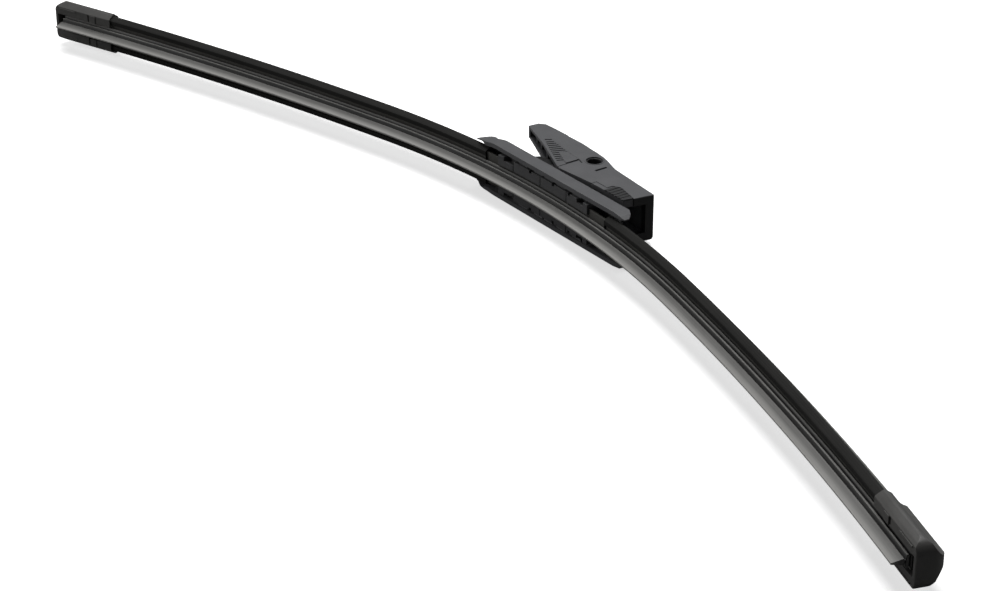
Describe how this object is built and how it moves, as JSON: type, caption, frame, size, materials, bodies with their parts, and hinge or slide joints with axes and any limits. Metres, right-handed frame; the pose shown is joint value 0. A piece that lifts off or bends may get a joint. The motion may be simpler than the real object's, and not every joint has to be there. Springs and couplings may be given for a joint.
{
  "type": "wiper blade",
  "caption": "Flat curved windscreen wiper blade: rubber lip on two spring rails, soft spoilers, end caps, and a clip-on adapter with a long nose that pivots on the centre connector.",
  "frame": {"origin": "centre of the pivot, on the bush's axis at mid width", "axes": "+X along the blade's chord towards the arm's side, +Y from the wiping lip towards the arm, +Z along the pivot axis; the blade lies on its -Z side"},
  "size_m": [0.475, 0.093, 0.0192],
  "materials": {
    "blade_rubber": "satin graphite-coated rubber",
    "rail_steel": "black coated spring steel",
    "spoiler": "satin extruded elastomer",
    "cap_plastic": "matt moulded",
    "carrier_plastic": "matt moulded",
    "cover_plastic": "fine-grained moulded",
    "bush_plastic": "smooth acetal",
    "adapter_plastic": "fine-grained moulded"
  },
  "bodies": {
    "blade": {"wiping_rubber": "blade_rubber", "spring_rail_upper": "rail_steel", "spring_rail_lower": "rail_steel", "spoiler_left": "spoiler", "spoiler_right": "spoiler", "end_cap_left": "cap_plastic", "end_cap_right": "cap_plastic", "rail_carrier": "carrier_plastic", "connector_cover": "cover_plastic", "pivot_bush": "bush_plastic"},
    "adapter": {"adapter_body": "adapter_plastic"},
    "tongue_upper": {"lock_tongue_upper": "adapter_plastic"},
    "tongue_lower": {"lock_tongue_lower": "adapter_plastic"}
  },
  "joints": [
    {"name": "adapter_pivot", "type": "hinge", "parent": "blade", "child": "adapter", "pos_m": [0, 0, 0], "axis": [0, 0, 1], "range_deg": [-1.5, 20]},
    {"name": "tongue_press_upper", "type": "hinge", "parent": "adapter", "child": "tongue_upper", "pos_m": [0.0132, -0.012, 0.00655], "axis": [0, 1, 0], "range_deg": [0, 3.3], "stiffness_Nm_per_rad": 1.5},
    {"name": "tongue_press_lower", "type": "hinge", "parent": "adapter", "child": "tongue_lower", "pos_m": [0.0132, -0.012, -0.00655], "axis": [0, -1, 0], "range_deg": [0, 3.3], "stiffness_Nm_per_rad": 1.5}
  ]
}
